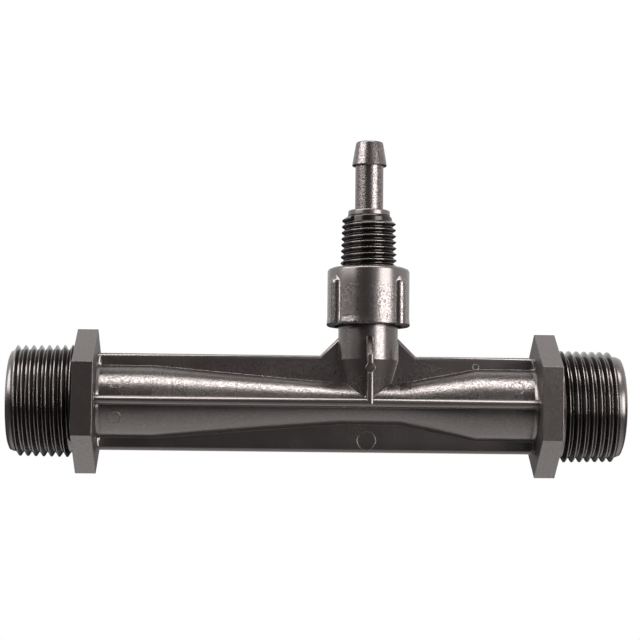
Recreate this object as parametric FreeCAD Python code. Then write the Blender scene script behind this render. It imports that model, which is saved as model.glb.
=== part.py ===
import FreeCAD, Part

import math
import os

# Venturi fertilizer injector, moulded in black plastic, all sizes in millimetres.
# +X runs along the pipe towards the water inlet and +Z runs up the suction branch.
# The origin is where the axis of the suction branch crosses the axis of the pipe.

# Pipe run
inlet_hex_face = 39.1
outlet_hex_face = 63.05
hex_width = 4.8
hex_across_flats = 29.1

# Pipe threads, drawn plain at the radius of their crests
thread_length = 15.3
thread_crest_radius = 13.1
thread_root_radius = 11.95
thread_groove = 1.15
thread_slope = 0.75
lead_in_slope = 0.9
lead_in_radius = 11.75
lead_in_rounding = 1.1

# Outside of the venturi tube
tube_radius = 8.45
waist_radius = 4.9
waist_to_inlet = 7.3
waist_to_outlet = 6.5
inlet_cone_length = 17.7
outlet_cone_length = 43.5
tube_foot_fillet = 0.9

# Waterway
end_bore_radius = 9.2
end_bore_depth = 17.2
tube_bore_radius = 6.5
throat_radius = 3.0
throat_to_inlet = 4.0
throat_to_outlet = 3.0

# Ribs
rib_tip_radius = 11.3
rib_thickness = 2.0
rib_tip_land = 0.3
gusset_reach = 4.2
web_thickness = 1.5
web_land = 0.4
web_proud = 0.15
web_foot_depth = 0.4
web_mark_radius = 1.15
web_mark_height = 7.9
web_mark_depth = 0.15

# Neck of the suction branch
neck_radius = 7.0
neck_shoulder_height = 10.2
neck_foot_radius = 4.4
neck_foot_height = 1.0
neck_height = 28.0
neck_thread_radius = 7.9
neck_thread_length = 8.2
neck_chamfer = 0.6
neck_bore_radius = 4.6
neck_bore_floor = 12.0
suction_port_radius = 3.0

# Seal washer
washer_thickness = 1.2
washer_clearance = 0.25
washer_outer_radius = 7.2

# Hose tail
flange_radius = 7.4
flange_thickness = 1.5
tail_bore_radius = 2.1
tail_thread_radius = 6.7
tail_thread_length = 13.5
collar_radius = 4.95
collar_height = 1.4
stem_radius = 3.33
stem_length = 10.65
barb_radius = 4.1
barb_land = 0.35
barb_tip_radius = 3.25
barb_length = 5.7
barb_chamfer = 0.3

# Union nut
nut_height = 13.87
nut_cover = 1.35
nut_hole_clearance = 0.15
nut_bore_clearance = 0.08
nut_face_clearance = 0.02
nut_skirt_radius = 9.65
nut_lip_radius = 9.8
nut_lip_slope = 1.8
nut_lip_chamfer = 0.3
nut_dome_drop = 0.95
nut_crown_radius = 7.4
grip_radius = 1.7
grip_circle_radius = 9.1
grip_angle_from_front = 51.8
grip_top_gap = 1.5
grip_point = 2.2
nut_turn_at_rest = -3.9

# How far each bore's cutting shape runs past the face it opens
cut_overrun = 1.0

X_AXIS = FreeCAD.Vector(1, 0, 0)
Y_AXIS = FreeCAD.Vector(0, 1, 0)
Z_AXIS = FreeCAD.Vector(0, 0, 1)
ORIGIN = FreeCAD.Vector(0, 0, 0)


def turned_on_x(points):
    """Solid of revolution about the pipe axis from (x, radius) points."""
    wire = Part.makePolygon([FreeCAD.Vector(x, 0, r) for x, r in points + points[:1]])
    return Part.Face(wire).revolve(ORIGIN, X_AXIS, 360)


def turned_on_z(points):
    """Solid of revolution about the branch axis from (radius, z) points."""
    wire = Part.makePolygon([FreeCAD.Vector(r, 0, z) for r, z in points + points[:1]])
    return Part.Face(wire).revolve(ORIGIN, Z_AXIS, 360)


def arc_points(centre, radius, start, end, steps):
    """Points along an arc in a drawing plane, from one angle in degrees to another."""
    found = []
    for step in range(steps + 1):
        angle = math.radians(start + (end - start) * step / steps)
        found.append((centre[0] + radius * math.cos(angle), centre[1] + radius * math.sin(angle)))
    return found


# Pipe end: a run-out groove, the thread and a rounded lead-in, as offsets from the hexagon's outer face
rounding_start = thread_length - lead_in_rounding
lead_in_edge = arc_points(
    (rounding_start, lead_in_radius - lead_in_rounding), lead_in_rounding, 90, 0, 2
)
end_profile = [
    (0.0, thread_root_radius),
    (thread_groove, thread_root_radius),
    (thread_groove + thread_slope, thread_crest_radius),
    (rounding_start - lead_in_slope, thread_crest_radius),
]
end_profile += lead_in_edge

inlet_hex_outer = inlet_hex_face + hex_width
outlet_hex_outer = outlet_hex_face + hex_width
inlet_end = inlet_hex_outer + thread_length
outlet_end = outlet_hex_outer + thread_length

# Outside of the tube with both pipe ends, turned about the pipe axis
foot_curve = arc_points((tube_foot_fillet, tube_radius + tube_foot_fillet), tube_foot_fillet, 180, 270, 2)
outline = [(-outlet_end, 0.0)]
outline += [(-outlet_hex_outer - x, r) for x, r in reversed(end_profile)]
outline += [(-outlet_hex_face + x, r) for x, r in foot_curve]
outline += [
    (-waist_to_outlet - outlet_cone_length, tube_radius),
    (-waist_to_outlet, waist_radius),
    (waist_to_inlet, waist_radius),
    (waist_to_inlet + inlet_cone_length, tube_radius),
]
outline += [(inlet_hex_face - x, r) for x, r in reversed(foot_curve)]
outline += [(inlet_hex_outer + x, r) for x, r in end_profile]
outline += [(inlet_end, 0.0)]
tube = turned_on_x(outline)


def hexagon(start):
    """Spanner hexagon with a corner straight up, from its lower x."""
    corner_radius = hex_across_flats / math.sqrt(3)
    corners = []
    for corner in range(7):
        angle = math.radians(90 + 60 * corner)
        corners.append(
            FreeCAD.Vector(start, corner_radius * math.cos(angle), corner_radius * math.sin(angle))
        )
    return Part.Face(Part.makePolygon(corners)).extrude(X_AXIS * hex_width)


def quarter_turn(shape):
    """The same shape turned a quarter about the pipe axis."""
    turned = shape.copy()
    turned.rotate(ORIGIN, X_AXIS, 90)
    return turned


# Four ribs in a cross, as two slabs through the axis with rounded tips
rib_half = rib_thickness / 2
rib_rounding = rib_half - rib_tip_land / 2
rib_corner = arc_points((rib_half - rib_rounding, rib_tip_radius - rib_rounding), rib_rounding, 0, 90, 2)
rib_corners = rib_corner + [(-y, z) for y, z in reversed(rib_corner)]
rib_corners += [(y, -z) for y, z in reversed(rib_corners)]
rib_wire = Part.makePolygon(
    [FreeCAD.Vector(-outlet_hex_face, y, z) for y, z in rib_corners + rib_corners[:1]]
)
upright_ribs = Part.Face(rib_wire).extrude(X_AXIS * (outlet_hex_face + inlet_hex_face))
hexagons = [hexagon(-outlet_hex_outer), hexagon(inlet_hex_face)]
run = tube.multiFuse(hexagons + [upright_ribs, quarter_turn(upright_ribs)])

# Where each rib meets a hexagon its sides curve out, as the round tube does
flare_reach = rib_tip_radius - rib_rounding
flare_curve = arc_points((tube_foot_fillet, rib_half + tube_foot_fillet), tube_foot_fillet, 180, 270, 2)
flare_edge = flare_curve + [(x, -y) for x, y in reversed(flare_curve)]
flares = []
for face, way in ((-outlet_hex_face, 1), (inlet_hex_face, -1)):
    corners = [FreeCAD.Vector(face + way * x, y, -flare_reach) for x, y in flare_edge]
    flare = Part.Face(Part.makePolygon(corners + corners[:1])).extrude(Z_AXIS * 2 * flare_reach)
    flares += [flare, quarter_turn(flare)]

# Neck: a cone out of the waist, a plain cylinder, and the part that takes the nut
neck_thread_start = neck_height - neck_thread_length
neck = turned_on_z(
    [
        (0.0, neck_foot_height),
        (neck_foot_radius, neck_foot_height),
        (neck_radius, neck_shoulder_height),
        (neck_radius, neck_thread_start - neck_chamfer),
        (neck_thread_radius, neck_thread_start),
        (neck_thread_radius, neck_height - neck_chamfer),
        (neck_thread_radius - neck_chamfer, neck_height),
        (0.0, neck_height),
    ]
)

# Side gussets stand on the upright rib and run up to the neck at 45 degrees
gusset_top = rib_tip_radius + gusset_reach
gusset_corners = [
    (-neck_radius - gusset_reach, 0.0),
    (-neck_radius - gusset_reach, rib_tip_radius),
    (-neck_radius, gusset_top),
    (neck_radius, gusset_top),
    (neck_radius + gusset_reach, rib_tip_radius),
    (neck_radius + gusset_reach, 0.0),
]
gusset_wire = Part.makePolygon(
    [FreeCAD.Vector(x, -rib_half, z) for x, z in gusset_corners + gusset_corners[:1]]
)
gussets = Part.Face(gusset_wire).extrude(Y_AXIS * rib_thickness)


def rises(edge):
    """How far an edge rises along Z."""
    return abs(edge.Vertexes[1].Point.z - edge.Vertexes[0].Point.z)


def is_sloping(edge):
    """True for the long edges of the gussets' 45 degree faces."""
    along = edge.Vertexes[1].Point - edge.Vertexes[0].Point
    return abs(along.y) < 1e-6 and abs(abs(along.x) - rises(edge)) < 1e-6


gussets = gussets.makeFillet(rib_rounding, [edge for edge in gussets.Edges if is_sloping(edge)])

# A thin upright web in front of the neck and one behind it, rounded along every outer edge
web_half = web_thickness / 2
web_front = rib_tip_radius + web_proud
web_slope_start = gusset_top - (web_front - neck_radius)
web_corners = [
    (-web_front, -web_foot_depth),
    (-web_front, web_slope_start),
    (-neck_radius, gusset_top),
    (neck_radius, gusset_top),
    (web_front, web_slope_start),
    (web_front, -web_foot_depth),
]
web_wire = Part.makePolygon(
    [FreeCAD.Vector(-web_half, y, z) for y, z in web_corners + web_corners[:1]]
)
webs = Part.Face(web_wire).extrude(X_AXIS * web_thickness)
webs = webs.makeFillet(web_half - web_land / 2, [edge for edge in webs.Edges if rises(edge) > 1e-6])

# The round end of an ejector pin stands a little below the face of each web
mark_front = web_front - web_mark_depth
mark_cut = Part.makeCylinder(
    web_mark_radius, 2 * web_front, FreeCAD.Vector(0, -web_front, web_mark_height), Y_AXIS
)
marks = Part.makeCylinder(
    web_mark_radius, 2 * mark_front, FreeCAD.Vector(0, -mark_front, web_mark_height), Y_AXIS
)

solid_body = run.multiFuse(flares + [neck, gussets, webs.cut(mark_cut), marks])

# Waterway: a wide bore in each end, a cone down to the throat and a longer cone out of it
waterway = turned_on_x(
    [
        (-outlet_end - cut_overrun, 0.0),
        (-outlet_end - cut_overrun, end_bore_radius),
        (-outlet_end + end_bore_depth, end_bore_radius),
        (-outlet_end + end_bore_depth, tube_bore_radius),
        (-waist_to_outlet - outlet_cone_length, tube_bore_radius),
        (-throat_to_outlet, throat_radius),
        (throat_to_inlet, throat_radius),
        (waist_to_inlet + inlet_cone_length, tube_bore_radius),
        (inlet_end - end_bore_depth, tube_bore_radius),
        (inlet_end - end_bore_depth, end_bore_radius),
        (inlet_end + cut_overrun, end_bore_radius),
        (inlet_end + cut_overrun, 0.0),
    ]
)

# Suction way: a narrow port up from the throat, then the bore of the neck
suction_way = turned_on_z(
    [
        (0.0, 0.0),
        (suction_port_radius, 0.0),
        (suction_port_radius, neck_bore_floor),
        (neck_bore_radius, neck_bore_floor),
        (neck_bore_radius, neck_height + cut_overrun),
        (0.0, neck_height + cut_overrun),
    ]
)
venturi_body = solid_body.cut([waterway, suction_way]).removeSplitter()

# Seal washer on the neck's rim
washer_top = neck_height + washer_thickness
washer_inner_radius = neck_bore_radius + washer_clearance
seal_washer = turned_on_z(
    [
        (washer_inner_radius, neck_height),
        (washer_outer_radius, neck_height),
        (washer_outer_radius, washer_top),
        (washer_inner_radius, washer_top),
    ]
)

# Hose tail: a flange below, then the threaded shank drawn plain, the collar, stem and barb
flange_top = washer_top + flange_thickness
thread_top = flange_top + tail_thread_length
collar_top = thread_top + collar_height
barb_lip = collar_top + stem_length
tail_top = barb_lip + barb_length
tail_profile = [
    (tail_bore_radius, washer_top),
    (flange_radius, washer_top),
    (flange_radius, flange_top),
    (tail_thread_radius, flange_top),
    (tail_thread_radius, thread_top),
    (collar_radius, thread_top),
    (collar_radius, collar_top),
    (stem_radius, collar_top),
    (stem_radius, barb_lip),
    (barb_radius, barb_lip),
    (barb_radius, barb_lip + barb_land),
    (barb_tip_radius, tail_top - barb_chamfer),
    (barb_tip_radius - barb_chamfer, tail_top),
    (tail_bore_radius, tail_top),
]
hose_tail = turned_on_z(tail_profile)

# Union nut: a domed cap over the flange, with a flared lip and four grip beads
nut_ceiling = flange_top + nut_face_clearance
nut_top = nut_ceiling + nut_cover
nut_bottom = nut_top - nut_height
nut_shoulder = nut_top - nut_dome_drop
dome = []
for angle in (0, 30, 60, 90):
    out = nut_crown_radius + (nut_skirt_radius - nut_crown_radius) * math.cos(math.radians(angle))
    dome.append((out, nut_shoulder + nut_dome_drop * math.sin(math.radians(angle))))
nut_outside = turned_on_z(
    [
        (0.0, nut_bottom),
        (nut_lip_radius - nut_lip_chamfer, nut_bottom),
        (nut_lip_radius, nut_bottom + nut_lip_chamfer),
        (nut_skirt_radius, nut_bottom + nut_lip_chamfer + nut_lip_slope),
    ]
    + dome
    + [(0.0, nut_top)]
)
grip_bottom = nut_bottom + nut_lip_chamfer
grip_shoulder = nut_top - grip_top_gap - grip_point
grips = []
for turn in (grip_angle_from_front, -grip_angle_from_front):
    for front in (-1, 1):
        across = grip_circle_radius * math.sin(math.radians(turn))
        back = front * grip_circle_radius * math.cos(math.radians(turn))
        bead = Part.makeCylinder(
            grip_radius, grip_shoulder - grip_bottom, FreeCAD.Vector(across, back, grip_bottom)
        )
        point = Part.makeCone(grip_radius, 0, grip_point, FreeCAD.Vector(across, back, grip_shoulder))
        grips += [bead, point]
nut_hole_radius = tail_thread_radius + nut_hole_clearance
nut_bore_radius = neck_thread_radius + nut_bore_clearance
nut_inside = turned_on_z(
    [
        (0.0, nut_bottom - cut_overrun),
        (nut_bore_radius, nut_bottom - cut_overrun),
        (nut_bore_radius, nut_ceiling),
        (nut_hole_radius, nut_ceiling),
        (nut_hole_radius, nut_top + cut_overrun),
        (0.0, nut_top + cut_overrun),
    ]
)
union_nut = nut_outside.multiFuse(grips).cut(nut_inside).removeSplitter()
union_nut.rotate(ORIGIN, Z_AXIS, nut_turn_at_rest)

os.makedirs("parts", exist_ok=True)
nodes = {
    "venturi_body": venturi_body,
    "union_nut": union_nut,
    "hose_tail": hose_tail,
    "seal_washer": seal_washer,
}
for name, shape in nodes.items():
    shape.exportStep(f"parts/{name}.step")
    print(name, "valid", shape.isValid(), "solids", len(shape.Solids), "volume", round(shape.Volume, 2))
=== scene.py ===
# %% [markdown]
# # A venturi fertilizer injector
#
# The injector is moulded in black plastic. Water enters at the right-hand thread, speeds up through a
# narrow waist and leaves at the left-hand thread. At the waist its pressure drops, and the suction branch
# on top draws in the fertilizer. The solids already have the true sizes, so this script adds what the eye
# needs: turns of thread, soft edges, the grain of the mould and the light of a product photograph.

import math

import bmesh
import bpy
from mathutils import Matrix, Vector


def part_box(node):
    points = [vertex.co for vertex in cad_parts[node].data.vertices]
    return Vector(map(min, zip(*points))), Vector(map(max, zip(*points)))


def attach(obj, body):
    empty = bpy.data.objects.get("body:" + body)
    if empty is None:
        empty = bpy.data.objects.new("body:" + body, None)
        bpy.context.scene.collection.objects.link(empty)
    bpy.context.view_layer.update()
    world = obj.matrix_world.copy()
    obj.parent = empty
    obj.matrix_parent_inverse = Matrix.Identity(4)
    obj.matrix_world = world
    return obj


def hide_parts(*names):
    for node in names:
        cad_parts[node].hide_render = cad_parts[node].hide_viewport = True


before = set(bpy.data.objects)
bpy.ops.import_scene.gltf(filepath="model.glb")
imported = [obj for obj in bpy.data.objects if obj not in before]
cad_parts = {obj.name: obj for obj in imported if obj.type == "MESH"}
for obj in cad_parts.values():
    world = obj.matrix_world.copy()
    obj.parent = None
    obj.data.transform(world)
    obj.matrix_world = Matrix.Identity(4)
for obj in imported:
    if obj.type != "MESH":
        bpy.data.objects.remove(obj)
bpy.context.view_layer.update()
MM = 0.001


def in_mm(place):
    """A place or a size in millimetres, rounded to be printed."""
    return [round(v / MM, 1) for v in place]


# %% [markdown]
# ## Copies of the solids
#
# A solid arrives as loose triangles. A copy with its doubles merged can be changed and joined to other
# meshes, while the solid itself stays as it is and is only hidden.


# %% Copy a solid
def copy_of(node, name):
    """A new object with the solid's mesh, its loose triangles joined."""
    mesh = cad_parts[node].data.copy()
    shape = bmesh.new()
    shape.from_mesh(mesh)
    bmesh.ops.remove_doubles(shape, verts=shape.verts, dist=0.002 * MM)
    shape.to_mesh(mesh)
    shape.free()
    mesh.materials.clear()
    made = bpy.data.objects.new(name, mesh)
    bpy.context.scene.collection.objects.link(made)
    print(name, len(mesh.polygons), "faces, size", in_mm(made.dimensions))
    return made


# %% [markdown]
# ## Exact shading for turned surfaces
#
# The tube, the neck and the threads are turned shapes, and long thin triangles shade them in streaks. The
# true normal of a turned surface is known at every corner: it is the face's own normal, swung round the
# axis to that corner. Faces that meet at a shallow angle then share a normal, weighed by their areas, so
# that a large flat stays flat and a small rounding takes up the whole bend. How large that angle may be
# depends on the place: a few degrees where the moulding has a crease, and far more on its rounded edges.


# %% Normals from the axis of turning
NEAR_AXIS = 0.5
OFF_RADIAL = 0.12
OFF_CONE = 0.05


def swung_normal(face, corner, axis):
    """The face's normal swung round an axis through the origin to a corner, or None off a turned surface."""
    other = [k for k in range(3) if k != axis]
    centre = face.calc_center_median()
    out = Vector((centre[other[0]], centre[other[1]]))
    if out.length < NEAR_AXIS * MM:
        return None
    out.normalize()
    across = Vector((face.normal[other[0]], face.normal[other[1]]))
    sideways = across[0] * -out[1] + across[1] * out[0]
    if abs(sideways) > OFF_RADIAL:
        return None
    outward = across.dot(out)
    radii = [math.hypot(v.co[other[0]], v.co[other[1]]) for v in face.verts]
    offsets = [r * outward + v.co[axis] * face.normal[axis] for r, v in zip(radii, face.verts)]
    if max(offsets) - min(offsets) > OFF_CONE * MM:
        return None
    swung = Vector((0.0, 0.0, 0.0))
    here = Vector((corner[other[0]], corner[other[1]])).normalized()
    swung[axis] = face.normal[axis]
    swung[other[0]] = outward * here[0]
    swung[other[1]] = outward * here[1]
    return swung.normalized()


# %% Shade a piece
def no_outline(at, normal, corner):
    """For pieces whose turned surfaces all show in their faces."""
    return None


def soften(made, limit_at, outline_normal=no_outline):
    """Sets every corner's normal from its turned surface and the faces it can share a bend with.

    The largest bend that two faces share comes from the place and normal of each, and the smaller one counts.
    """
    shape = bmesh.new()
    shape.from_mesh(made.data)
    shape.faces.ensure_lookup_table()
    own = {}
    limits = []
    for face in shape.faces:
        at = face.calc_center_median() / MM
        limits.append(math.cos(math.radians(limit_at(at, face.normal))))
        for vert in face.verts:
            found = outline_normal(at, face.normal, vert.co / MM)
            found = found or swung_normal(face, vert.co, 0) or swung_normal(face, vert.co, 2)
            own[face.index, vert.index] = found or face.normal.copy()
    normals = []
    for face in shape.faces:
        for vert in face.verts:
            mine = own[face.index, vert.index]
            total = Vector((0.0, 0.0, 0.0))
            for near in vert.link_faces:
                theirs = own[near.index, vert.index]
                if mine.dot(theirs) > max(limits[face.index], limits[near.index]):
                    total += theirs * near.calc_area()
            normals.append(total.normalized() if total.length > 0 else mine)
    shape.free()
    for polygon in made.data.polygons:
        polygon.use_smooth = True
    made.data.normals_split_custom_set(normals)
    print(made.name, "has", len(normals), "corner normals")


# %% [markdown]
# ## Turns of thread
#
# A thread follows a rule, so Geometry Nodes make it: a spiral whose radius is that of the thread's root, and
# a four-sided ridge carried along it. The ridge's foot lies below the root, and its size fades at both ends,
# which makes the turns run out into the plain part as a mould cuts them.


# %% Helpers for node trees
def node_in(tree, kind, **values):
    """A node with some of its properties and inputs set."""
    node = tree.nodes.new(kind)
    for key, value in values.items():
        if hasattr(node, key):
            setattr(node, key, value)
        else:
            node.inputs[key.replace("_", " ")].default_value = value
    return node


def maths(tree, operation, first, second=0.0):
    """The result of a maths node that is fed by numbers or by sockets."""
    node = node_in(tree, "ShaderNodeMath", operation=operation)
    for socket, value in zip(node.inputs, (first, second)):
        if isinstance(value, (int, float)):
            socket.default_value = value
        else:
            tree.links.new(value, socket)
    return node.outputs[0]


def ramp(tree, value, low, high, at_low=0.0, at_high=1.0, kind="LINEAR"):
    """A value that goes from at_low to at_high while the given one goes from low to high."""
    node = node_in(tree, "ShaderNodeMapRange", interpolation_type=kind)
    for name, number in (("From Min", low), ("From Max", high), ("To Min", at_low), ("To Max", at_high)):
        node.inputs[name].default_value = number
    tree.links.new(value, node.inputs["Value"])
    return node.outputs["Result"]


# %% A tree for threads
STEPS_A_TURN = 72
THINNEST_RIDGE = 0.05
ROUNDING_STEPS = 3
THREAD_INPUTS = {
    "Foot Radius Start": 11.8 * MM,
    "Foot Radius End": 11.8 * MM,
    "Ridge Height": 1.3 * MM,
    "Foot Width": 1.9 * MM,
    "Crest Width": 0.3 * MM,
    "Crest Rounding": 0.1 * MM,
    "Pitch": 1.814 * MM,
    "Turns": 7.0,
    "Fade In": 0.05,
    "Fade Out": 0.05,
}
RIDGE_CORNERS = (
    (None, "Foot Width"),
    ("Ridge Height", "Crest Width"),
    ("Ridge Height", "Crest Width"),
    (None, "Foot Width"),
)


def thread_tree():
    """Geometry Nodes that carry a ridge along a spiral about Z."""
    tree = bpy.data.node_groups.new("Turns of thread", "GeometryNodeTree")
    for name, value in THREAD_INPUTS.items():
        socket = tree.interface.new_socket(name, in_out="INPUT", socket_type="NodeSocketFloat")
        socket.default_value = value
    tree.interface.new_socket("Material", in_out="INPUT", socket_type="NodeSocketMaterial")
    tree.interface.new_socket("Geometry", in_out="OUTPUT", socket_type="NodeSocketGeometry")
    link = tree.links.new
    given = tree.nodes.new("NodeGroupInput").outputs

    spiral = node_in(tree, "GeometryNodeCurveSpiral", Resolution=STEPS_A_TURN, Reverse=True)
    link(given["Turns"], spiral.inputs["Rotations"])
    link(given["Foot Radius Start"], spiral.inputs["Start Radius"])
    link(given["Foot Radius End"], spiral.inputs["End Radius"])
    link(maths(tree, "MULTIPLY", given["Turns"], given["Pitch"]), spiral.inputs["Height"])
    upright = node_in(tree, "GeometryNodeSetCurveNormal", mode="Z_UP")
    link(spiral.outputs["Curve"], upright.inputs["Curve"])

    along = tree.nodes.new("GeometryNodeSplineParameter").outputs["Factor"]
    growing = maths(tree, "DIVIDE", along, given["Fade In"])
    shrinking = maths(tree, "DIVIDE", maths(tree, "SUBTRACT", 1.0, along), given["Fade Out"])
    grown = maths(tree, "MINIMUM", maths(tree, "MINIMUM", growing, shrinking), 1.0)
    size = node_in(tree, "GeometryNodeSetCurveRadius")
    link(upright.outputs["Curve"], size.inputs["Curve"])
    link(maths(tree, "MAXIMUM", grown, THINNEST_RIDGE), size.inputs["Radius"])

    ridge = node_in(tree, "GeometryNodeCurvePrimitiveQuadrilateral", mode="POINTS")
    for number, (height, width) in enumerate(RIDGE_CORNERS):
        half = maths(tree, "MULTIPLY", given[width], -0.5 if number < 2 else 0.5)
        point = tree.nodes.new("ShaderNodeCombineXYZ")
        if height:
            link(given[height], point.inputs["X"])
        link(half, point.inputs["Y"])
        link(point.outputs[0], ridge.inputs[f"Point {number + 1}"])
    rounded = node_in(tree, "GeometryNodeFilletCurve", mode="POLY")
    rounded.inputs["Count"].default_value = ROUNDING_STEPS
    link(ridge.outputs["Curve"], rounded.inputs["Curve"])
    link(given["Crest Rounding"], rounded.inputs["Radius"])

    swept = tree.nodes.new("GeometryNodeCurveToMesh")
    swept.inputs["Fill Caps"].default_value = True
    link(size.outputs["Curve"], swept.inputs["Curve"])
    link(rounded.outputs["Curve"], swept.inputs["Profile Curve"])
    realized = tree.nodes.new("GeometryNodeRealizeInstances")
    link(swept.outputs["Mesh"], realized.inputs["Geometry"])
    finished = tree.nodes.new("GeometryNodeSetMaterial")
    link(realized.outputs["Geometry"], finished.inputs["Geometry"])
    link(given["Material"], finished.inputs["Material"])
    link(finished.outputs["Geometry"], tree.nodes.new("NodeGroupOutput").inputs["Geometry"])
    return tree


THREAD = thread_tree()
print("thread tree with", len(THREAD.nodes), "nodes")


# %% Make one thread
THREAD_SLOT = 1


def thread(name, place, material, **sizes):
    """A ridge mesh made by the thread tree, moved and turned by a matrix."""
    holder = bpy.data.objects.new(name, bpy.data.meshes.new(name))
    bpy.context.scene.collection.objects.link(holder)
    maker = holder.modifiers.new("Thread", "NODES")
    maker.node_group = THREAD
    for item in THREAD.interface.items_tree:
        if item.in_out == "INPUT" and item.name in sizes:
            maker[item.identifier] = sizes[item.name]
        if item.in_out == "INPUT" and item.name == "Material":
            maker[item.identifier] = material
    ready = holder.evaluated_get(bpy.context.evaluated_depsgraph_get())
    mesh = bpy.data.meshes.new_from_object(ready)
    bpy.data.objects.remove(holder)
    mesh.transform(place)
    shape = bmesh.new()
    shape.from_mesh(mesh)
    for face in shape.faces:
        face.material_index = THREAD_SLOT
    bmesh.ops.recalc_face_normals(shape, faces=shape.faces)
    shape.to_mesh(mesh)
    shape.free()
    print(name, len(mesh.polygons), "faces")
    return mesh


# %% Join meshes
def joined(name, meshes):
    """One object from several meshes."""
    shape = bmesh.new()
    for mesh in meshes:
        shape.from_mesh(mesh)
    whole = bpy.data.meshes.new(name)
    shape.to_mesh(whole)
    shape.free()
    made = bpy.data.objects.new(name, whole)
    bpy.context.scene.collection.objects.link(made)
    return made


# %% [markdown]
# ## Black plastic
#
# Black glass-filled nylon is not quite black: its skin is a warm dark grey that mirrors more than a tenth of
# the light. The mould leaves a fine grain on the turned faces, which breaks each highlight into sparkle.
# Grain laid on flat and wrapped round would stretch on the cones, so one group of nodes makes it from noise
# in space, and each mesh stores how much of it every face has. A thread's grooves mirror little but each
# other. The threads therefore get a darker colour and a gloss that falls from the crests to the roots, and
# both are painted shade for the grooves. The inner sides of the hexagons and the cone of the neck came out of
# the mould dull, and have a plastic of their own.


# %% Grain of the mould
GRAIN_SIZE = 0.3
PATCHES_A_METRE = 120.0
FAINTEST, STRONGEST = 0.32, 0.68
SPARKLE = 0.8


def grain_group():
    """Fine noise as a height for the bump and as sparkle, and coarse patches for the roughness."""
    group = bpy.data.node_groups.new("Mould grain", "ShaderNodeTree")
    for name, value in (("Grain Size", GRAIN_SIZE), ("Amount", 1.0)):
        socket = group.interface.new_socket(name, in_out="INPUT", socket_type="NodeSocketFloat")
        socket.default_value = value
    for name in ("Height", "Patches", "Sparkle"):
        group.interface.new_socket(name, in_out="OUTPUT", socket_type="NodeSocketFloat")
    link = group.links.new
    given = group.nodes.new("NodeGroupInput").outputs
    made = group.nodes.new("NodeGroupOutput").inputs
    place = group.nodes.new("ShaderNodeTexCoord").outputs["Object"]
    fine = node_in(group, "ShaderNodeTexNoise", Detail=2.0, Roughness=0.6)
    link(place, fine.inputs["Vector"])
    link(maths(group, "DIVIDE", 1000.0, given["Grain Size"]), fine.inputs["Scale"])
    link(maths(group, "MULTIPLY", fine.outputs["Fac"], given["Amount"]), made["Height"])
    coarse = node_in(group, "ShaderNodeTexNoise", Scale=PATCHES_A_METRE, Detail=3.0)
    link(place, coarse.inputs["Vector"])
    link(coarse.outputs["Fac"], made["Patches"])
    glint = ramp(group, fine.outputs["Fac"], FAINTEST, STRONGEST, -SPARKLE, SPARKLE)
    spread = maths(group, "MULTIPLY", glint, given["Amount"])
    link(maths(group, "ADD", spread, 1.0), made["Sparkle"])
    return group


GRAIN = grain_group()
print("grain group with", len(GRAIN.nodes), "nodes")


# %% One plastic
WARM_TINT = (1.0, 0.9, 0.87, 1.0)
ROUGHER = 0.06
CREST_STARTS, CREST_FULL = 0.65, 0.92


def plastic(name, colour, roughness, gloss, grain_depth, edge, painted_shade_groove_gloss=None):
    """A black plastic with soft edges and the grain of its mould. On a thread, its gloss falls into the
    grooves as painted shade.
    """
    material = bpy.data.materials.new(name)
    material.use_nodes = True
    tree = material.node_tree
    link = tree.links.new
    skin = tree.nodes["Principled BSDF"]
    skin.inputs["Base Color"].default_value = (*colour, 1.0)
    skin.inputs["IOR"].default_value = 1.7
    skin.inputs["Specular Tint"].default_value = WARM_TINT
    grain = tree.nodes.new("ShaderNodeGroup")
    grain.node_tree = GRAIN
    grain.inputs["Grain Size"].default_value = GRAIN_SIZE
    where = node_in(tree, "ShaderNodeAttribute", attribute_name="grain")
    link(where.outputs["Fac"], grain.inputs["Amount"])
    # Painted shade: by the thread height, the gloss falls from the crests to a low value at the roots, which
    # darkens the grooves.
    if painted_shade_groove_gloss is not None:
        height = node_in(tree, "ShaderNodeAttribute", attribute_name="thread height")
        gloss = ramp(tree, height.outputs["Fac"], CREST_STARTS, CREST_FULL, painted_shade_groove_gloss, gloss)
    link(maths(tree, "MULTIPLY", grain.outputs["Sparkle"], gloss), skin.inputs["Specular IOR Level"])
    rough = ramp(tree, grain.outputs["Patches"], 0.0, 1.0, roughness - ROUGHER, roughness + ROUGHER)
    link(rough, skin.inputs["Roughness"])
    corner = node_in(tree, "ShaderNodeBevel", samples=6)
    corner.inputs["Radius"].default_value = edge * MM
    bump = node_in(tree, "ShaderNodeBump")
    bump.inputs["Strength"].default_value = 1.0
    bump.inputs["Distance"].default_value = grain_depth * MM
    link(grain.outputs["Height"], bump.inputs["Height"])
    link(corner.outputs["Normal"], bump.inputs["Normal"])
    link(bump.outputs["Normal"], skin.inputs["Normal"])
    print(name, "with", len(tree.nodes), "nodes")
    return material


# %% The plastics and the rubber
BLACK = (0.015, 0.012, 0.0112)
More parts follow.
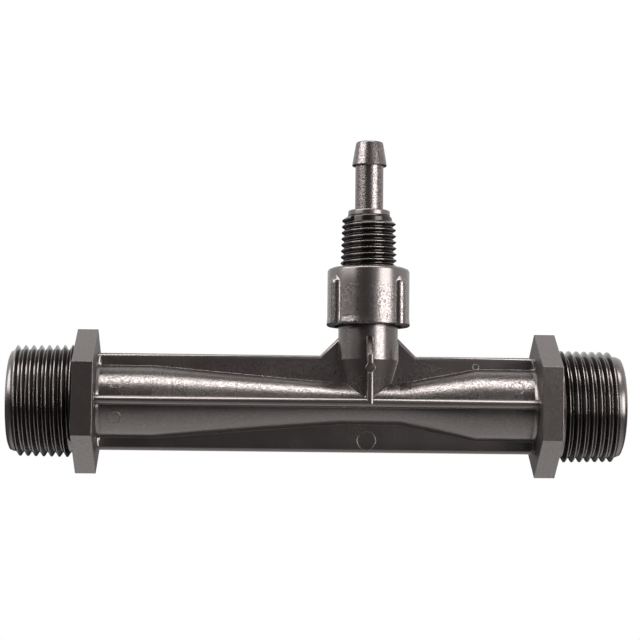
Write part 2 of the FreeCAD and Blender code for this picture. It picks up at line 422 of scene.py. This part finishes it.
# The threads' colour is darker than the rest of the plastic. This is painted shade for their grooves.
PAINTED_SHADE_BLACK = (0.005, 0.004, 0.0037)
RUBBER_BLACK = (0.02, 0.02, 0.02)
BODY_PLASTIC = plastic("Body plastic", BLACK, roughness=0.26, gloss=1.0, grain_depth=0.03, edge=0.2)
THREAD_PLASTIC = plastic(
    "Thread plastic with painted groove shade", PAINTED_SHADE_BLACK, roughness=0.2, gloss=1.4, grain_depth=0.02, edge=0.05, painted_shade_groove_gloss=0.25
)
DULL_PLASTIC = plastic("Dull plastic", BLACK, roughness=0.5, gloss=0.4, grain_depth=0.1, edge=0.04)
NUT_PLASTIC = plastic("Cap plastic", BLACK, roughness=0.26, gloss=1.0, grain_depth=0.03, edge=0.12)
TAIL_PLASTIC = plastic("Hose tail plastic", BLACK, roughness=0.26, gloss=1.0, grain_depth=0.03, edge=0.12)
SEAL_RUBBER = plastic("Seal rubber", RUBBER_BLACK, roughness=0.6, gloss=0.5, grain_depth=0.02, edge=0.1)


# %% What a mesh stores for its plastic
# The thread height is the mask of the painted shade in the threads' grooves.
def set_thread_height(made, height_at):
    """Writes how high up a thread's flank each point lies, 0 at the root and 1 on the crest."""
    store = made.data.attributes.new("thread height", "FLOAT", "POINT")
    store.data.foreach_set("value", [height_at(vert.co / MM) for vert in made.data.vertices])


def set_grain(made, amount_at):
    """Writes how much grain each face has, from its centre in millimetres and its normal."""
    store = made.data.attributes.new("grain", "FLOAT", "FACE")
    store.data.foreach_set("value", [amount_at(p.center / MM, p.normal) for p in made.data.polygons])


# %% [markdown]
# ## The body
#
# The solid carries each pipe thread as a plain cylinder at the radius of its crests. The copy's cylinders
# are drawn in to a little below the roots, and a right-hand thread of 14 turns to the inch goes over them.
# Its crests are lower at the outer end, which helps a socket to start on it.


# %% Draw a cylinder in
def draw_in(made, crest, root, along, across, lowest, highest):
    """Moves the points of a cylinder about an axis from the crest radius to the root radius."""
    moved = 0
    for vert in made.data.vertices:
        radius = math.hypot(vert.co[across[0]], vert.co[across[1]])
        if abs(radius - crest * MM) < 0.02 * MM and lowest * MM < vert.co[along] < highest * MM:
            vert.co[across[0]] *= root * MM / radius
            vert.co[across[1]] *= root * MM / radius
            moved += 1
    print("drew in", moved, "points at radius", crest)


# %% Body with its cylinders drawn in
CREST_RADIUS = 13.1
ROOT_RADIUS = 11.95
OUTER_CREST_RADIUS = 12.85
PIPE_PITCH = 1.8143
SUNK = 0.15
DEEPER = 0.11
OUTLET_TIP = -82.0
INLET_TIP = 57.8
OUTLET_SPAN = (-82, -69)
INLET_SPAN = (45, 58)
body_copy = copy_of("venturi_body", "body copy")
for lowest, highest in (OUTLET_SPAN, INLET_SPAN):
    draw_in(body_copy, CREST_RADIUS, ROOT_RADIUS - DEEPER, 0, (1, 2), lowest, highest)

# %% Pipe threads
pipe_sizes = {
    "Ridge Height": (CREST_RADIUS - ROOT_RADIUS + SUNK) * MM,
    "Foot Width": (PIPE_PITCH - 0.05) * MM,
    "Crest Width": 0.14 * MM,
    "Crest Rounding": 0.1 * MM,
    "Pitch": PIPE_PITCH * MM,
}
pipe_threads = []
for name, start, turns, crest_at_top in (
    ("outlet thread", OUTLET_TIP, 7.66, -81.5),
    ("inlet thread", 44.6, 7.3, 45.23),
):
    turned = 360.0 * (start - crest_at_top) / PIPE_PITCH
    place = Matrix.Translation((start * MM, 0, 0)) @ Matrix.Rotation(math.radians(turned + 90), 4, "X")
    swing = place @ Matrix.Rotation(math.radians(90), 4, "Y") @ Matrix.Rotation(math.radians(90), 4, "Z")
    thick, thin = ROOT_RADIUS - SUNK, OUTER_CREST_RADIUS - CREST_RADIUS + ROOT_RADIUS - SUNK
    first, last = (thin, thick) if start < 0 else (thick, thin)
    pipe_threads.append(
        thread(
            name,
            swing,
            THREAD_PLASTIC,
            **pipe_sizes,
            **{
                "Foot Radius Start": first * MM,
                "Foot Radius End": last * MM,
                "Turns": turns,
                "Fade In": 0.04,
                "Fade Out": 0.04,
            },
        )
    )

# %% [markdown]
# ## The thread under the cap
#
# The cap screws onto the neck by a coarser thread. It shows only when the cap is screwed off, and the pose
# with the cap lifted needs it.

# %% Neck thread
NECK_CREST_RADIUS = 7.9
NECK_ROOT_RADIUS = 7.3
NECK_PITCH = 2.0
NECK_THREAD_START = 20.2
NECK_SPAN = (19, 28)
draw_in(body_copy, NECK_CREST_RADIUS, NECK_ROOT_RADIUS, 2, (0, 1), *NECK_SPAN)
neck_thread = thread(
    "neck thread",
    Matrix.Translation((0, 0, NECK_THREAD_START * MM)),
    THREAD_PLASTIC,
    **{
        "Foot Radius Start": (NECK_ROOT_RADIUS - SUNK) * MM,
        "Foot Radius End": (NECK_ROOT_RADIUS - SUNK) * MM,
        "Ridge Height": (NECK_CREST_RADIUS - NECK_ROOT_RADIUS + SUNK) * MM,
        "Foot Width": 1.5 * MM,
        "Crest Width": 0.4 * MM,
        "Crest Rounding": 0.12 * MM,
        "Pitch": NECK_PITCH * MM,
        "Turns": 3.4,
        "Fade In": 0.05,
        "Fade Out": 0.05,
    },
)

# %% [markdown]
# ## Marks of the ejector pins
#
# The pins that push the moulding out of its mould leave shallow round marks: two on the upper half of the
# tube, one on its lower half and two on the ribs. Each is a fine raised line that follows its face, sunk in
# it to half its thickness. A bump in the material would be missing from the mesh, so they are real rings.


# %% One ring on a face
def ring_mesh(name, radius, thickness, on_face):
    """A thin ring of round section, whose points on_face places on the body's skin with their normal."""
    around, across = 40, 6
    shape = bmesh.new()
    rows = []
    for step in range(around):
        turn = 2 * math.pi * step / around
        outward = Vector((math.cos(turn), math.sin(turn)))
        row = []
        for k in range(across):
            lean = 2 * math.pi * k / across
            reach = radius + 0.5 * thickness * math.cos(lean)
            place, normal = on_face(outward[0] * reach, outward[1] * reach)
            row.append(shape.verts.new((place + normal * (0.5 * thickness * math.sin(lean))) * MM))
        rows.append(row)
    for step in range(around):
        here, after = rows[step], rows[(step + 1) % around]
        for k in range(across):
            following = (k + 1) % across
            shape.faces.new((here[k], after[k], after[following], here[following]))
    bmesh.ops.recalc_face_normals(shape, faces=shape.faces)
    mesh = bpy.data.meshes.new(name)
    shape.to_mesh(mesh)
    shape.free()
    return mesh


def on_tube(along, height):
    """Points on the tube's front, about a place at the given height."""
    def place(sideways, up):
        angle = math.asin(height / TUBE_RADIUS) + up / TUBE_RADIUS
        normal = Vector((0.0, -math.cos(angle), math.sin(angle)))
        return Vector((along + sideways, 0.0, 0.0)) + normal * TUBE_RADIUS, normal
    return place


def on_rib(along, height):
    """Points on the front face of the upper or the lower rib."""
    return lambda sideways, up: (Vector((along + sideways, -RIB_HALF, height + up)), Vector((0.0, -1.0, 0.0)))


# %% Rings where the photo shows them
TUBE_RADIUS = 8.45
RIB_HALF = 1.0
RING_LINE = 0.12
rings = [
    ring_mesh("ring, upper left", 1.55, RING_LINE, on_tube(-58.3, 4.1)),
    ring_mesh("ring, lower left", 1.55, RING_LINE, on_tube(-58.6, -4.0)),
    ring_mesh("ring, upper right", 1.55, RING_LINE, on_tube(34.3, 3.8)),
    ring_mesh("ring, upper rib", 0.7, RING_LINE, on_rib(25.2, 8.9)),
    ring_mesh("ring, lower rib", 2.15, RING_LINE, on_rib(-0.3, -8.5)),
]
print("rings:", len(rings), "with", sum(len(mesh.polygons) for mesh in rings), "faces")

# %% Join the body
body = joined("injector_moulding", [body_copy.data, neck_thread] + pipe_threads + rings)
bpy.data.objects.remove(body_copy)
for material in (BODY_PLASTIC, THREAD_PLASTIC, DULL_PLASTIC):
    body.data.materials.append(material)
print(body.name, len(body.data.polygons), "faces")

# %% [markdown]
# ## Where the body is dull, grained or creased
#
# One moulding has several finishes, and the mould decides where each one ends. Picking faces by hand would
# break with the next change of the solid, so every face is told by its place and by the way it looks.

# %% Dull faces
DULL_SLOT = 2
RIBS_REACH = 9.5
dulled = 0
for polygon in body.data.polygons:
    at, normal = polygon.center / MM, polygon.normal
    by_hexagon = -64 < at.x < -35 or 35 < at.x < 40
    inner_side = by_hexagon and abs(normal.x) > 0.9 and math.hypot(at.y, at.z) > RIBS_REACH
    outward = normal.x * at.x + normal.y * at.y
    neck_cone = 2 < at.z < 14 and -0.5 < normal.z < -0.15 and outward > 0.8 * math.hypot(at.x, at.y)
    if inner_side or neck_cone:
        polygon.material_index = DULL_SLOT
        dulled += 1
print("dull faces on the hexagons' inner sides and the neck's cone:", dulled)


# %% Grain and creases
TUBE_START, TUBE_END = -62, 38.2
NECK_FOOT = 10
SHARP, BENT, ROUND = 4.0, 26.0, 50.0


def near_tube(at, radius):
    """Whether a place is between the hexagons, below the neck and within a radius of the pipe's axis."""
    return math.hypot(at.y, at.z) < radius and TUBE_START < at.x < TUBE_END and at.z < NECK_FOOT


def body_grain(at, normal):
    """Grain on the turned tube, the neck and the hexagons, and little on threads and flat ribs."""
    if near_tube(at, 8.6):
        return 1.0 if at.z > 0 else 0.35
    if (-68 < at.x < -63 or 39 < at.x < 44) and math.hypot(at.y, at.z) > 12:
        return 0.4
    return 0.5 if abs(at.x) < 7.2 and NECK_FOOT < at.z < 19 else 0.12


def body_limit(at, normal):
    """The creases of the tube and the neck are sharp, and so are the bends of gussets and webs."""
    if near_tube(at, 9.2):
        return SHARP
    if math.hypot(at.x, at.y) < 8.6 and math.hypot(normal.x, normal.y) > 0.9 and at.z > 5:
        return SHARP
    sideways, forwards, upwards = (abs(part) for part in normal)
    slopes = min(abs(sideways - upwards), abs(forwards - upwards)) < 0.02 and upwards > 0.2
    return BENT if at.z > 8 and slopes else ROUND


# %% Outline of the tube
TUBE_OUTLINE = ((-62.2, 8.45), (-50.0, 8.45), (-6.5, 4.9), (7.3, 4.9), (25.0, 8.45), (38.3, 8.45))


def tube_normal(at, normal, corner):
    """The tube's true normal at a corner, from its outline, where a face is too long to show it."""
    around = Vector((at.y, at.z))
    for (start, start_radius), (end, end_radius) in zip(TUBE_OUTLINE, TUBE_OUTLINE[1:]):
        slope = (end_radius - start_radius) / (end - start)
        if start < at.x < end and abs(around.length - start_radius - slope * (at.x - start)) < 0.5:
            true = Vector((-slope, corner.y, corner.z))
            true.yz = true.yz.normalized()
            facing = Vector((-slope, *around.normalized())).normalized().dot(normal)
            return true.normalized() if facing > 0.95 else None
    return None


# %% Finish the body
PLAIN_MIDDLE = 40
PIPE_THREAD_RUN = 13.9


def pipe_thread_height(at):
    """Where a point lies between root and crest of a pipe thread, whose crests are lower at its end."""
    if abs(at.x) < PLAIN_MIDDLE:
        return 1.0
    from_end = at.x - OUTLET_TIP if at.x < 0 else INLET_TIP - at.x
    crest = OUTER_CREST_RADIUS + (CREST_RADIUS - OUTER_CREST_RADIUS) * from_end / PIPE_THREAD_RUN
    return 1.0 - (crest - math.hypot(at.y, at.z)) / (CREST_RADIUS - ROOT_RADIUS)


set_grain(body, body_grain)
set_thread_height(body, pipe_thread_height)
soften(body, body_limit, tube_normal)
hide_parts("venturi_body")
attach(body, "injector")

# %% [markdown]
# ## The hose tail
#
# A lathe shape: its profile is drawn once as radius and height and turned about the branch. Only what stands
# above the cap is seen, but the flange below it is there too, because the cap can be screwed off.


# %% Lathe
def lathe(name, profile, steps=96):
    """A closed profile of (radius, height) in millimetres turned about Z."""
    shape = bmesh.new()
    columns = []
    for step in range(steps):
        angle = 2 * math.pi * step / steps
        across, forwards = math.cos(angle), math.sin(angle)
        columns.append([shape.verts.new((r * MM * across, r * MM * forwards, z * MM)) for r, z in profile])
    for step in range(steps):
        here, after = columns[step], columns[(step + 1) % steps]
        for k in range(len(profile)):
            following = (k + 1) % len(profile)
            shape.faces.new((here[k], after[k], after[following], here[following]))
    bmesh.ops.recalc_face_normals(shape, faces=shape.faces)
    mesh = bpy.data.meshes.new(name)
    shape.to_mesh(mesh)
    shape.free()
    print(name, len(mesh.polygons), "faces")
    return mesh


def rounding(centre, radius, start, end, steps=4):
    """Points of an arc in the profile's plane, from one angle in degrees to another."""
    angles = [math.radians(start + (end - start) * k / steps) for k in range(steps + 1)]
    return [(centre[0] + radius * math.cos(a), centre[1] + radius * math.sin(a)) for a in angles]


# %% Profile of the hose tail
TAIL_ROOT_RADIUS = 5.91
TAIL_CORE_SUNK = 0.09
TAIL_TAPER = 0.35
BORE_RADIUS = 2.1
FLANGE_RADIUS = 7.4
BARB_RADIUS = 4.1
tail_bottom, tail_top = (corner[2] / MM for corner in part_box("hose_tail"))
flange_top = tail_bottom + 1.5
thread_top = flange_top + 13.5
collar_top = thread_top + 1.4
barb_lip = collar_top + 10.65
core_radius = TAIL_ROOT_RADIUS - TAIL_CORE_SUNK
tail_profile = [(BORE_RADIUS, tail_bottom), (FLANGE_RADIUS - 0.2, tail_bottom)]
tail_profile += [(FLANGE_RADIUS, tail_bottom + 0.2), (FLANGE_RADIUS, flange_top - 0.2)]
tail_profile += [(FLANGE_RADIUS - 0.2, flange_top), (core_radius, flange_top)]
tail_profile += [(core_radius - TAIL_TAPER, thread_top - 0.5), (5.1, thread_top)]
tail_profile += [(4.75, thread_top), (4.95, thread_top + 0.2)]
tail_profile += rounding((4.6, collar_top - 0.35), 0.35, 0, 90) + [(3.55, collar_top)]
tail_profile += rounding((3.53, collar_top + 0.2), 0.2, 270, 180, 3)
tail_profile += [(3.33, barb_lip - 0.15), (3.45, barb_lip)]
tail_profile += [(4.0, barb_lip), (BARB_RADIUS, barb_lip + 0.12), (4.08, barb_lip + 0.38)]
tail_profile += rounding((2.8, tail_top - 0.45), 0.45, 10, 90)
tail_profile += [(2.4, tail_top), (BORE_RADIUS, tail_top - 0.25)]
tail_mesh = lathe("hose tail turned", tail_profile)

# %% Thread of the hose tail
TAIL_PITCH = 1.435
TAIL_THREAD_START = 31.3
TAIL_CREST_AT_RIGHT = 32.42
TAIL_RIDGE = 0.9
TAIL_SUNK = 0.12
foot_radius = TAIL_ROOT_RADIUS - TAIL_SUNK
tail_turned = math.radians(360 * (TAIL_THREAD_START - TAIL_CREST_AT_RIGHT) / TAIL_PITCH)
tail_thread = thread(
    "hose tail thread",
    Matrix.Translation((0, 0, TAIL_THREAD_START * MM)) @ Matrix.Rotation(tail_turned, 4, "Z"),
    THREAD_PLASTIC,
    **{
        "Foot Radius Start": foot_radius * MM,
        "Foot Radius End": (foot_radius - TAIL_TAPER) * MM,
        "Ridge Height": TAIL_RIDGE * MM,
        "Foot Width": 1.45 * MM,
        "Crest Width": 0.14 * MM,
        "Crest Rounding": 0.1 * MM,
        "Pitch": TAIL_PITCH * MM,
        "Turns": 8.4,
        "Fade In": 0.04,
        "Fade Out": 0.12,
    },
)

# %% Join the hose tail
tail = joined("hose_tail_moulding", [tail_mesh, tail_thread])
tail.data.materials.append(TAIL_PLASTIC)
tail.data.materials.append(THREAD_PLASTIC)
# Painted shade: the drawn-in core between the flange and the thread takes the thread plastic, so it is as
# dark as a groove.
for polygon in tail.data.polygons:
    at = polygon.center / MM
    if flange_top < at.z < thread_top - 0.02 and 4.9 < math.hypot(at.x, at.y) < TAIL_ROOT_RADIUS:
        polygon.material_index = THREAD_SLOT
print(tail.name, len(tail.data.polygons), "faces")


# %% Finish the hose tail
TAIL_THREAD_RUN = 12.05
STEM_FOOT = 45.7


def tail_thread_height(at):
    """Where a point lies between root and crest of the tail's thread, which tapers upwards."""
    crest = foot_radius + TAIL_RIDGE - TAIL_TAPER * (at.z - TAIL_THREAD_START) / TAIL_THREAD_RUN
    return 1.0 - (crest - math.hypot(at.x, at.y)) / TAIL_RIDGE


set_grain(tail, lambda at, normal: 1.0 if at.z > STEM_FOOT else 0.1)
set_thread_height(tail, tail_thread_height)
soften(tail, lambda at, normal: 40.0)
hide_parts("hose_tail")
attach(tail, "suction_fitting")

# %% [markdown]
# ## The screw cap
#
# The cap keeps the solid's shape: a domed top, a flared lip and four half-round grip beads. The mould's
# grain stops short of the dome, which is smooth. Grain is stored face by face, so a copy of the solid is cut
# along the grain's edge and no face lies on both sides of it. The washer inside the cap is hidden: its solid
# stays as it is and is only given its rubber.

# %% Screw cap
GRAIN_TOP = 27.7
SKIRT_MIDDLE = 9.5
cap = copy_of("union_nut", "screw_cap_moulding")
shape = bmesh.new()
shape.from_mesh(cap.data)
everything = shape.verts[:] + shape.edges[:] + shape.faces[:]
bmesh.ops.bisect_plane(shape, geom=everything, plane_co=(0, 0, GRAIN_TOP * MM), plane_no=(0, 0, 1))
shape.to_mesh(cap.data)
shape.free()
cap.data.materials.append(NUT_PLASTIC)
print(cap.name, "cut at the grain's edge,", len(cap.data.polygons), "faces")
set_grain(cap, lambda at, normal: 1.0 if at.z < GRAIN_TOP and math.hypot(at.x, at.y) > SKIRT_MIDDLE else 0.12)
soften(cap, lambda at, normal: 50.0)
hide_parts("union_nut")
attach(cap, "screw_cap")

# %% Seal washer
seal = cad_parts["seal_washer"]
seal.data.materials.clear()
seal.data.materials.append(SEAL_RUBBER)
print("seal washer in", SEAL_RUBBER.name)

# %% [markdown]
# ## A white studio
#
# Two tall soft boxes stand in front, left and right, and a long one hangs above. Each vertical face of
# revolution mirrors the tall ones as two stripes, and the horizontal tube mirrors the long one as a broad
# band. The room behind is white to near the zenith and shows along each rim, its right side glows faintly
# and the camera's side is almost dark, because black plastic in an all-white room looks grey. Only the rays
# that come straight from the camera see pure white wherever they miss the injector.


# %% Soft boxes
LAMP_DISTANCE = 1.0


def soft_box(name, direction, width, height, power):
    """An area lamp that faces the injector from a direction."""
    lamp = bpy.data.lights.new(name, "AREA")
    lamp.shape = "RECTANGLE"
    lamp.size = width
    lamp.size_y = height
    lamp.energy = power
    made = bpy.data.objects.new(name, lamp)
    bpy.context.scene.collection.objects.link(made)
    place = Vector(direction).normalized() * LAMP_DISTANCE
    made.location = place
    made.rotation_euler = place.to_track_quat("Z", "Y").to_euler()
    print(name, "at", [round(v, 2) for v in place], "metres")


def towards(turn_right, rise):
    """A direction as degrees to the right of the camera's axis and degrees above the horizon."""
    turn, up = math.radians(turn_right), math.radians(rise)
    return (math.sin(turn) * math.cos(up), -math.cos(turn) * math.cos(up), math.sin(up))


soft_box("Right soft box", towards(45, 4), width=0.60, height=0.66, power=10.5)
soft_box("Left soft box", towards(-62, 33), width=0.75, height=0.66, power=10.5)
soft_box("Top soft box", towards(0, 72), width=1.0, height=0.42, power=11.5)

# %% World
DARK_FRONT = 0.04
SIDE_GLOW = 0.5
world = bpy.data.worlds.new("White studio")
bpy.context.scene.world = world
world.use_nodes = True
world_tree = world.node_tree


def smooth_step(value, low, high):
    """A soft step from 0 at one value to 1 at another."""
    return ramp(world_tree, value, low, high, kind="SMOOTHSTEP")


direction = world_tree.nodes.new("ShaderNodeSeparateXYZ")
world_tree.links.new(world_tree.nodes.new("ShaderNodeTexCoord").outputs["Generated"], direction.inputs[0])
sideways, backwards, upwards = direction.outputs
beside = maths(world_tree, "MULTIPLY", maths(world_tree, "ABSOLUTE", sideways), 0.5)
to_the_back = maths(world_tree, "ADD", backwards, beside)
behind = maths(world_tree, "MULTIPLY", smooth_step(to_the_back, 0.0, 0.4), smooth_step(upwards, 0.0, 0.08))
below_zenith = maths(world_tree, "SUBTRACT", 1.0, smooth_step(upwards, 0.86, 0.98))
behind = maths(world_tree, "MULTIPLY", behind, below_zenith)
glow = maths(world_tree, "MULTIPLY", smooth_step(sideways, 0.0, 0.3), SIDE_GLOW)
glow = maths(world_tree, "MULTIPLY", glow, smooth_step(upwards, -0.1, 0.1))
studio = maths(world_tree, "ADD", maths(world_tree, "MAXIMUM", behind, glow), DARK_FRONT)
rays = world_tree.nodes.new("ShaderNodeLightPath").outputs
strength = maths(world_tree, "MAXIMUM", rays["Is Camera Ray"], studio)
background = world_tree.nodes["Background"]
world_tree.links.new(strength, background.inputs["Strength"])
background.inputs["Color"].default_value = (1.0, 1.0, 1.0, 1.0)
print("world with", len(world_tree.nodes), "nodes")

# %% [markdown]
# ## The paper below
#
# The injector stands over a sheet of white paper so bright that no edge of it shows. The camera sees it
# white all over. For every other ray, its colour is a painted pool of light: pale only below the injector and
# dark elsewhere, so that the lower faces mirror some light and still look black.

# %% Floor
FLOOR_LEVEL = -0.12
FLOOR_RADIUS = 0.55
floor_shape = bmesh.new()
lowered = Matrix.Translation((0, 0, FLOOR_LEVEL))
bmesh.ops.create_circle(floor_shape, cap_ends=True, segments=96, radius=FLOOR_RADIUS, matrix=lowered)
floor_mesh = bpy.data.meshes.new("Floor")
floor_shape.to_mesh(floor_mesh)
floor_shape.free()
floor = bpy.data.objects.new("Floor", floor_mesh)
bpy.context.scene.collection.objects.link(floor)
print("floor", FLOOR_LEVEL, "metres up, radius", FLOOR_RADIUS)

# %% White paper with a painted pool of light
PAINTED_POOL_BRIGHTNESS = 0.58
PAINTED_POOL_FADES_IN = (-0.252, 0.06)
PAINTED_POOL_CUTS = (("Y", 0.072, 0.3), ("X", -0.108, -0.18), ("X", 0.132, 0.228))
OUTSIDE_PAINTED_POOL = 0.1
paper = bpy.data.materials.new("White paper with a painted pool of light")
paper.use_nodes = True
paper_tree = paper.node_tree
paper_skin = paper_tree.nodes["Principled BSDF"]
paper_skin.inputs["Roughness"].default_value = 0.9
apart = paper_tree.nodes.new("ShaderNodeSeparateXYZ")
paper_tree.links.new(paper_tree.nodes.new("ShaderNodeTexCoord").outputs["Object"], apart.inputs[0])
# Painted pool of light: for rays other than the camera's, the paper's colour is pale below the injector and
# fades to dark around it.
painted_pool = ramp(paper_tree, apart.outputs["Y"], *PAINTED_POOL_FADES_IN, 0.0, PAINTED_POOL_BRIGHTNESS)
for axis, inside, outside in PAINTED_POOL_CUTS:
    cut = ramp(paper_tree, apart.outputs[axis], inside, outside, 1.0, OUTSIDE_PAINTED_POOL)
    painted_pool = maths(paper_tree, "MULTIPLY", painted_pool, cut)
camera_ray = paper_tree.nodes.new("ShaderNodeLightPath").outputs["Is Camera Ray"]
paper_tree.links.new(maths(paper_tree, "MAXIMUM", camera_ray, painted_pool), paper_skin.inputs["Base Color"])
floor_mesh.materials.append(paper)
print("white paper with", len(paper_tree.nodes), "nodes")

# %% [markdown]
# ## The camera
#
# The camera's place comes from the photograph: about twenty points of the real thread, hexagons and ribs
# were matched to the solid. It stands a little left of the branch, 46 cm away, and looks slightly upwards.

# %% Camera
YAW, PITCH, ROLL = math.radians(1.849), math.radians(4.804), math.radians(0.592)
turn = Matrix.Rotation(ROLL, 3, "Y") @ Matrix.Rotation(-PITCH, 3, "X") @ Matrix.Rotation(YAW, 3, "Z")
camera_data = bpy.data.cameras.new("Camera")
camera_data.sensor_width = 36.0
camera_data.lens = 110.43
camera_data.clip_start = 0.05
camera = bpy.data.objects.new("Camera", camera_data)
bpy.context.scene.collection.objects.link(camera)
looks = turn.transposed() @ Matrix(((1, 0, 0), (0, 0, -1), (0, 1, 0)))
stands = turn.transposed() @ Vector((-11.104 * MM, -459.242 * MM, 19.734 * MM))
camera.matrix_world = Matrix.Translation(stands) @ looks.to_4x4()
bpy.context.scene.camera = camera
print("camera stands at", in_mm(stands))

# %% [markdown]
# ## View
#
# The Standard view shows a colour about as it is written. Finer edges and threads may not make the part any
# larger.

# %% View
bpy.context.scene.view_settings.view_transform = "Standard"
